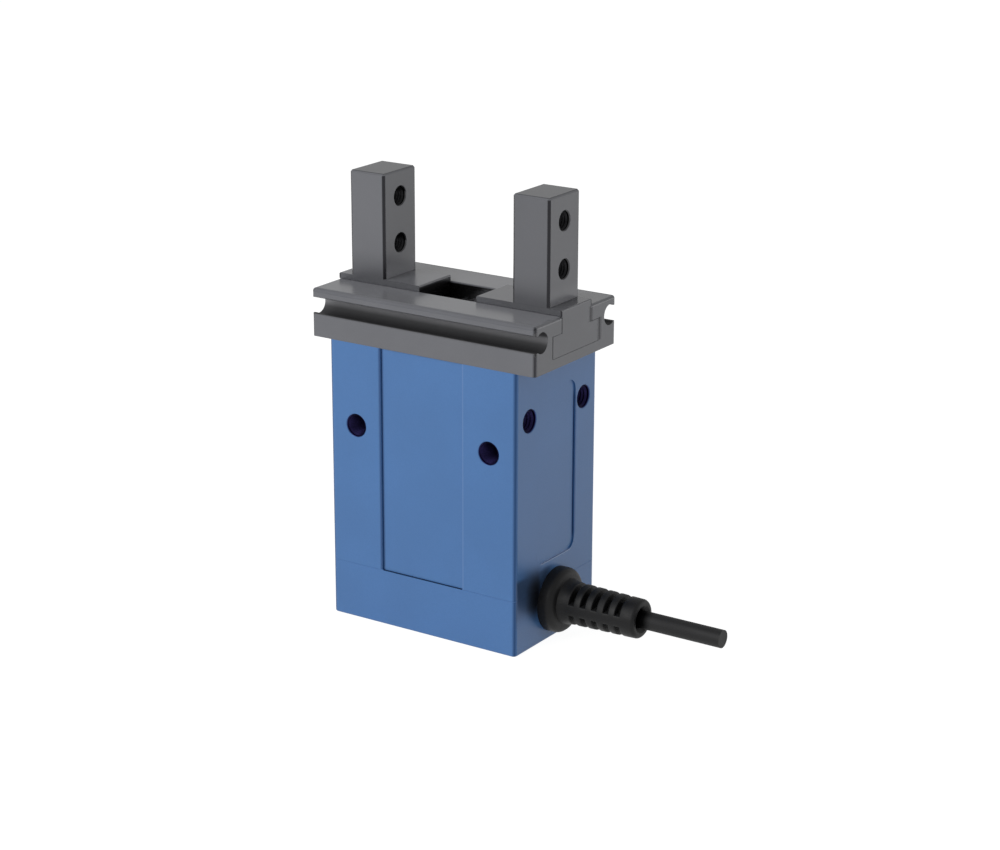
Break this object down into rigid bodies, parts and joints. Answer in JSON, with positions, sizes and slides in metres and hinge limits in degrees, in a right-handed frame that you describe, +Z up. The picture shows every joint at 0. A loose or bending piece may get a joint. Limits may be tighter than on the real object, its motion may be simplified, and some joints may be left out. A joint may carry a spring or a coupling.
{
  "type": "electric parallel gripper",
  "caption": "Electric parallel gripper with a box-shaped body, a slotted guide rail, upright finger jaws moved by racks and a pinion, and a cable with strain relief.",
  "frame": {"origin": "centre of the base's underside", "axes": "+X jaw travel with the cable side, -Y front face, +Z up along the fingers"},
  "size_m": [0.1149, 0.0388, 0.1199],
  "materials": {
    "blue_anodised": "matt blue anodised aluminium",
    "grey_anodised": "dark grey hard-anodised aluminium",
    "gasket_rubber": "black rubber sheet",
    "black_screw_steel": "black oxide steel",
    "ground_steel": "ground steel",
    "plain_aluminium": "turned aluminium",
    "motor_casing": "drawn steel",
    "copper_wire": "enamelled copper wire",
    "magnet_coat": "nickel-coated magnet",
    "board_green": "green circuit board",
    "component_black": "moulded components",
    "brass_spacer": "turned brass",
    "boot_rubber": "black moulded rubber",
    "cable_jacket": "black cable jacket",
    "clamp_plastic": "black moulded plastic"
  },
  "bodies": {
    "base": {"housing": "blue_anodised", "base_block": "blue_anodised", "base_gasket": "gasket_rubber", "base_screws": "black_screw_steel", "guide_rail": "grey_anodised", "rail_screws": "black_screw_steel", "rail_dowels": "ground_steel", "ring_gear": "ground_steel", "output_bearing_lower": "ground_steel", "output_bearing_upper": "ground_steel", "gearbox_screws": "ground_steel", "motor_plate": "plain_aluminium", "motor_plate_screws": "ground_steel", "motor_can": "motor_casing", "motor_end_cap": "plain_aluminium", "motor_bearing_front": "ground_steel", "motor_bearing_rear": "ground_steel", "stator_core": "ground_steel", "stator_coils": "copper_wire", "encoder_board": "board_green", "encoder_spacers": "brass_spacer", "encoder_screws": "ground_steel", "control_board": "board_green", "board_parts": "component_black", "board_spacers": "brass_spacer", "board_screws": "ground_steel", "cable_boot": "boot_rubber", "cable": "cable_jacket", "cable_clamp": "clamp_plastic", "clamp_screws": "ground_steel"},
    "jaw_left": {"jaw_left": "grey_anodised", "rack_left": "ground_steel", "rack_screws_left": "black_screw_steel"},
    "jaw_right": {"jaw_right": "grey_anodised", "rack_right": "ground_steel", "rack_screws_right": "black_screw_steel"},
    "drive": {"planet_carrier": "ground_steel", "planet_pins": "ground_steel", "pinion": "ground_steel", "pinion_clip": "ground_steel"},
    "planet_1": {"planet_gear_1": "ground_steel"},
    "planet_2": {"planet_gear_2": "ground_steel"},
    "planet_3": {"planet_gear_3": "ground_steel"},
    "rotor": {"motor_shaft": "ground_steel", "rotor_magnet": "magnet_coat", "sun_gear": "ground_steel", "encoder_magnet": "magnet_coat"}
  },
  "joints": [
    {"name": "jaw_left_slide", "type": "slide", "parent": "base", "child": "jaw_left", "axis": [1, 0, 0], "range_m": [0, 0.0075]},
    {"name": "jaw_right_slide", "type": "slide", "parent": "base", "child": "jaw_right", "axis": [-1, 0, 0], "range_m": [0, 0.0075]},
    {"name": "drive_turn", "type": "hinge", "parent": "base", "child": "drive", "pos_m": [0, 0, 0.0827], "axis": [0, 0, -1], "range_deg": [0, 71.72]},
    {"name": "rotor_turn", "type": "hinge", "parent": "base", "child": "rotor", "pos_m": [0, 0, 0.04], "axis": [0, 0, -1], "range_deg": [0, 322.69]},
    {"name": "planet_1_turn", "type": "hinge", "parent": "drive", "child": "planet_1", "pos_m": [0.00675, 0, 0.056], "axis": [0, 0, 1], "range_deg": [0, 200.84]},
    {"name": "planet_2_turn", "type": "hinge", "parent": "drive", "child": "planet_2", "pos_m": [-0.00337, 0.00585, 0.056], "axis": [0, 0, 1], "range_deg": [0, 200.84]},
    {"name": "planet_3_turn", "type": "hinge", "parent": "drive", "child": "planet_3", "pos_m": [-0.00337, -0.00585, 0.056], "axis": [0, 0, 1], "range_deg": [0, 200.84]}
  ],
  "couplings": [
    {"joint": "jaw_right_slide", "follows": "jaw_left_slide", "ratio": 1},
    {"joint": "drive_turn", "follows": "jaw_left_slide", "rad_per_m": 166.67},
    {"joint": "rotor_turn", "follows": "jaw_left_slide", "rad_per_m": 750},
    {"joint": "planet_1_turn", "follows": "jaw_left_slide", "rad_per_m": 466.67},
    {"joint": "planet_2_turn", "follows": "jaw_left_slide", "rad_per_m": 466.67},
    {"joint": "planet_3_turn", "follows": "jaw_left_slide", "rad_per_m": 466.67}
  ]
}
